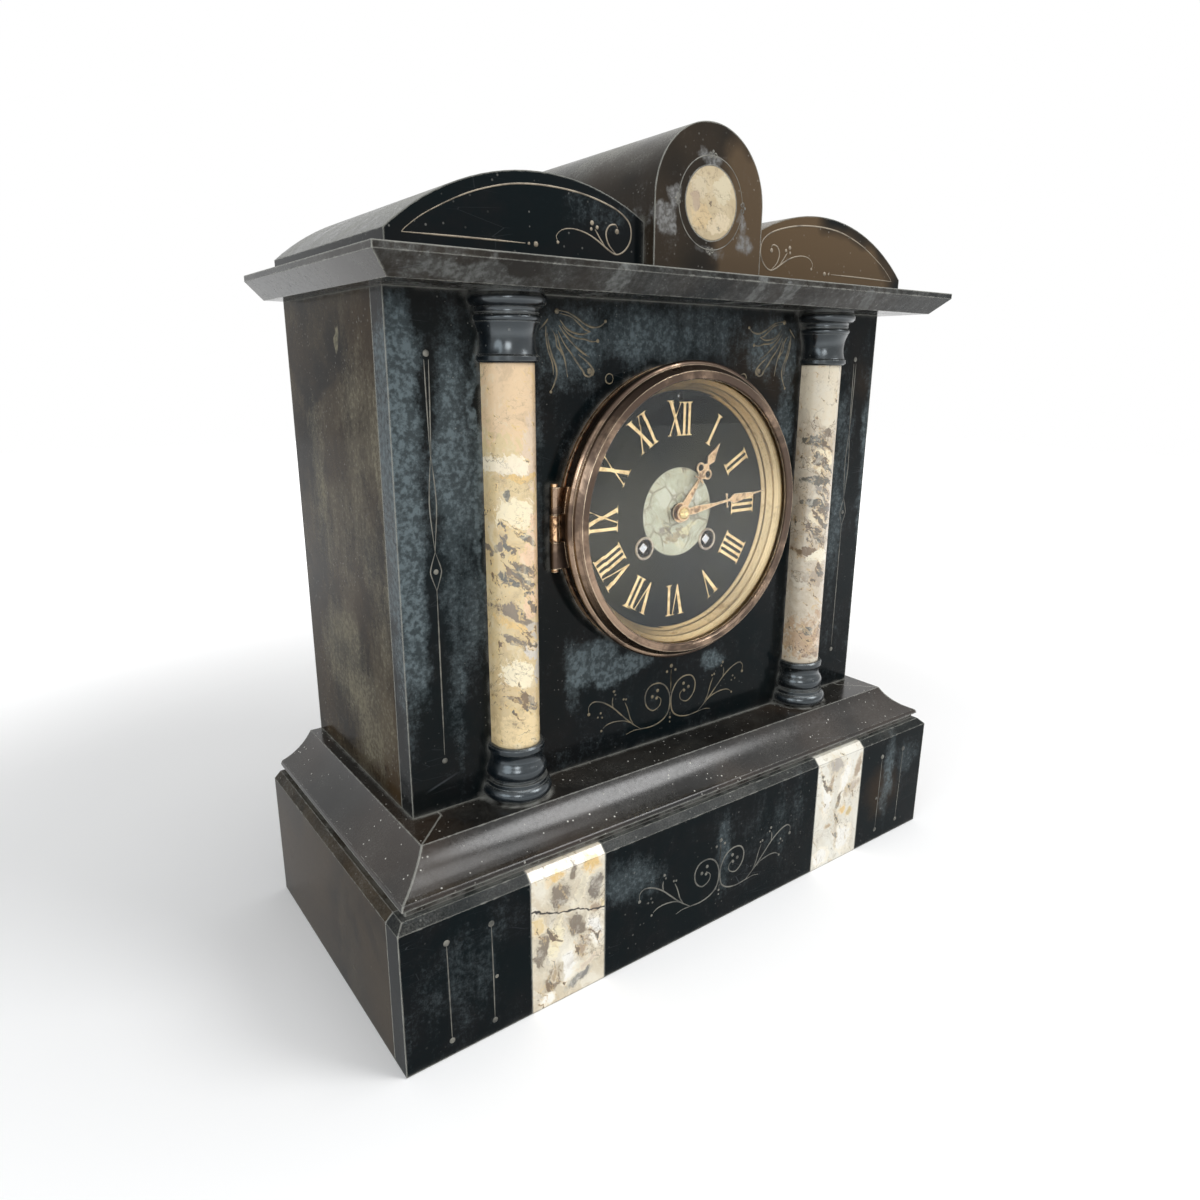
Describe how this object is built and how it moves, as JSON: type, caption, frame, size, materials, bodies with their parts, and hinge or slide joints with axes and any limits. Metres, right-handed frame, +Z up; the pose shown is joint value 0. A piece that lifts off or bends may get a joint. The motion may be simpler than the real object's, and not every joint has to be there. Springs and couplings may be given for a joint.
{
  "type": "mantel clock",
  "caption": "Black slate mantel clock with marble columns, a glazed hinged bezel, an arched top and a striking spring-driven movement.",
  "frame": {"origin": "middle of the underside of the plinth, halfway between its front and back", "axes": "+Z up, -Y the front with the dial, +X to the right of someone facing the dial"},
  "size_m": [0.36, 0.1666, 0.3937],
  "materials": {
    "slate": "polished",
    "slate_satin": "satin",
    "slate_turned": "polished",
    "slate_dial": "polished",
    "marble_column": "polished",
    "marble_inlay": "polished",
    "marble_roundel": "polished",
    "marble_dial": "polished",
    "patinated_brass": "worn patina",
    "gilt_brass": "satin",
    "hinge_brass": "worn",
    "glass": "bevelled, clear",
    "hand_gilt": "satin",
    "grommet_metal": "worn",
    "movement_brass": "satin",
    "bell_metal": "polished",
    "steel": "satin"
  },
  "bodies": {
    "case": {"plinth_front": "slate", "plinth_sides": "slate", "plinth_back": "slate", "marble_strips": "marble_inlay", "moulding_front": "slate_satin", "moulding_sides": "slate_satin", "case_floor": "slate", "case_front": "slate", "case_sides": "slate", "case_back": "slate", "cornice": "slate", "pediment_segments": "slate", "centre_block": "slate", "roundel": "marble_roundel", "column_shafts": "marble_column", "column_capitals": "slate_turned", "column_bases": "slate_turned", "dial_frame": "hinge_brass", "bezel_hinge_pin": "hinge_brass", "dial_plate": "slate_dial", "dial_centre": "marble_dial", "winding_grommets": "grommet_metal", "front_plate": "movement_brass", "back_plate": "movement_brass", "plate_pillars": "movement_brass", "winding_clicks": "steel", "suspension_cock": "movement_brass", "bell": "bell_metal", "bell_stand": "movement_brass", "case_straps": "movement_brass", "rear_bezel": "patinated_brass"},
    "bezel_door": {"bezel_ring": "patinated_brass", "bezel_glass": "glass", "sight_ring": "gilt_brass"},
    "minute_train": {"minute_hand": "hand_gilt", "hand_collet": "movement_brass", "centre_wheel": "movement_brass"},
    "hour_train": {"hour_hand": "hand_gilt", "hour_wheel": "movement_brass"},
    "minute_wheel": {"minute_wheel": "movement_brass"},
    "second_wheel": {"second_wheel": "movement_brass"},
    "time_barrel": {"time_barrel": "movement_brass", "time_mainspring": "steel"},
    "third_wheel": {"third_wheel": "movement_brass"},
    "escape_wheel": {"escape_wheel": "movement_brass"},
    "anchor": {"anchor": "steel"},
    "pendulum": {"pendulum_rod": "movement_brass", "pendulum_bob": "movement_brass"},
    "strike_barrel": {"strike_barrel": "movement_brass", "strike_mainspring": "steel"},
    "strike_second_wheel": {"strike_second_wheel": "movement_brass"},
    "pin_wheel": {"pin_wheel": "movement_brass"},
    "locking_wheel": {"locking_wheel": "movement_brass"},
    "warning_wheel": {"warning_wheel": "movement_brass"},
    "fly": {"fly": "movement_brass"},
    "hammer": {"hammer": "steel"},
    "time_winding_arbor": {"time_winding_arbor": "steel"},
    "strike_winding_arbor": {"strike_winding_arbor": "steel"},
    "regulator_arbor": {"regulator_arbor": "steel"},
    "rear_door": {"rear_door": "movement_brass"}
  },
  "joints": [
    {"name": "bezel_swing", "type": "hinge", "parent": "case", "child": "bezel_door", "pos_m": [-0.077, -0.0429, 0.2175], "axis": [0, 0, -1], "range_deg": [0, 85]},
    {"name": "rear_door_swing", "type": "hinge", "parent": "case", "child": "rear_door", "pos_m": [0.067, 0.0816, 0.2175], "axis": [0, 0, -1], "range_deg": [0, 100]},
    {"name": "minute_turn", "type": "hinge", "parent": "case", "child": "minute_train", "pos_m": [0, 0, 0.2175], "axis": [0, 1, 0], "continuous": true},
    {"name": "hour_turn", "type": "hinge", "parent": "case", "child": "hour_train", "pos_m": [0, 0, 0.2175], "axis": [0, 1, 0], "continuous": true},
    {"name": "minute_wheel_turn", "type": "hinge", "parent": "case", "child": "minute_wheel", "pos_m": [0.0048, 0, 0.22581], "axis": [0, 1, 0], "continuous": true},
    {"name": "second_wheel_turn", "type": "hinge", "parent": "case", "child": "second_wheel", "pos_m": [0.01583, 0, 0.22177], "axis": [0, 1, 0], "continuous": true},
    {"name": "time_barrel_turn", "type": "hinge", "parent": "case", "child": "time_barrel", "pos_m": [0.0214, 0, 0.2009], "axis": [0, 1, 0], "continuous": true},
    {"name": "third_wheel_turn", "type": "hinge", "parent": "case", "child": "third_wheel", "pos_m": [0.00237, 0, 0.23094], "axis": [0, 1, 0], "continuous": true},
    {"name": "escape_turn", "type": "hinge", "parent": "case", "child": "escape_wheel", "pos_m": [0, 0, 0.24246], "axis": [0, 1, 0], "continuous": true},
    {"name": "pendulum_swing", "type": "hinge", "parent": "case", "child": "pendulum", "pos_m": [0, 0.017, 0.25236], "axis": [0, 1, 0], "range_deg": [-4, 4]},
    {"name": "anchor_rock", "type": "hinge", "parent": "case", "child": "anchor", "pos_m": [0, 0, 0.25236], "axis": [0, 1, 0], "range_deg": [-4, 4]},
    {"name": "warning_turn", "type": "hinge", "parent": "case", "child": "warning_wheel", "pos_m": [-0.01361, 0, 0.24692], "axis": [0, 1, 0], "continuous": true},
    {"name": "locking_turn", "type": "hinge", "parent": "case", "child": "locking_wheel", "pos_m": [-0.02175, 0, 0.24212], "axis": [0, 1, 0], "continuous": true},
    {"name": "pin_wheel_turn", "type": "hinge", "parent": "case", "child": "pin_wheel", "pos_m": [-0.01224, 0, 0.23561], "axis": [0, 1, 0], "continuous": true},
    {"name": "strike_second_turn", "type": "hinge", "parent": "case", "child": "strike_second_wheel", "pos_m": [-0.01717, 0, 0.22208], "axis": [0, 1, 0], "continuous": true},
    {"name": "strike_barrel_turn", "type": "hinge", "parent": "case", "child": "strike_barrel", "pos_m": [-0.0214, 0, 0.2009], "axis": [0, 1, 0], "continuous": true},
    {"name": "fly_turn", "type": "hinge", "parent": "case", "child": "fly", "pos_m": [-0.00962, 0, 0.25383], "axis": [0, 1, 0], "continuous": true},
    {"name": "hammer_lift", "type": "hinge", "parent": "case", "child": "hammer", "pos_m": [-0.041, 0, 0.2275], "axis": [0, -1, 0], "range_deg": [0, 14], "stiffness_Nm_per_rad": 0.004},
    {"name": "time_winding", "type": "hinge", "parent": "case", "child": "time_winding_arbor", "pos_m": [0.0214, 0, 0.2009], "axis": [0, 1, 0], "range_deg": [0, 1980]},
    {"name": "strike_winding", "type": "hinge", "parent": "case", "child": "strike_winding_arbor", "pos_m": [-0.0214, 0, 0.2009], "axis": [0, 1, 0], "range_deg": [0, 1980]},
    {"name": "regulator_turn", "type": "hinge", "parent": "case", "child": "regulator_arbor", "pos_m": [0, 0, 0.2745], "axis": [0, 1, 0], "range_deg": [-360, 360]}
  ],
  "couplings": [
    {"joint": "hour_turn", "follows": "minute_turn", "ratio": 0.083333},
    {"joint": "minute_wheel_turn", "follows": "minute_turn", "ratio": -0.33333},
    {"joint": "second_wheel_turn", "follows": "minute_turn", "ratio": -0.13889},
    {"joint": "time_barrel_turn", "follows": "minute_turn", "ratio": 0.019841},
    {"joint": "third_wheel_turn", "follows": "minute_turn", "ratio": -12},
    {"joint": "escape_turn", "follows": "minute_turn", "ratio": 132},
    {"joint": "anchor_rock", "follows": "pendulum_swing", "ratio": 1},
    {"joint": "strike_second_turn", "follows": "strike_barrel_turn", "ratio": -7},
    {"joint": "pin_wheel_turn", "follows": "strike_barrel_turn", "ratio": 63},
    {"joint": "locking_turn", "follows": "strike_barrel_turn", "ratio": -504},
    {"joint": "warning_turn", "follows": "strike_barrel_turn", "ratio": 4032},
    {"joint": "fly_turn", "follows": "strike_barrel_turn", "ratio": -28800}
  ]
}
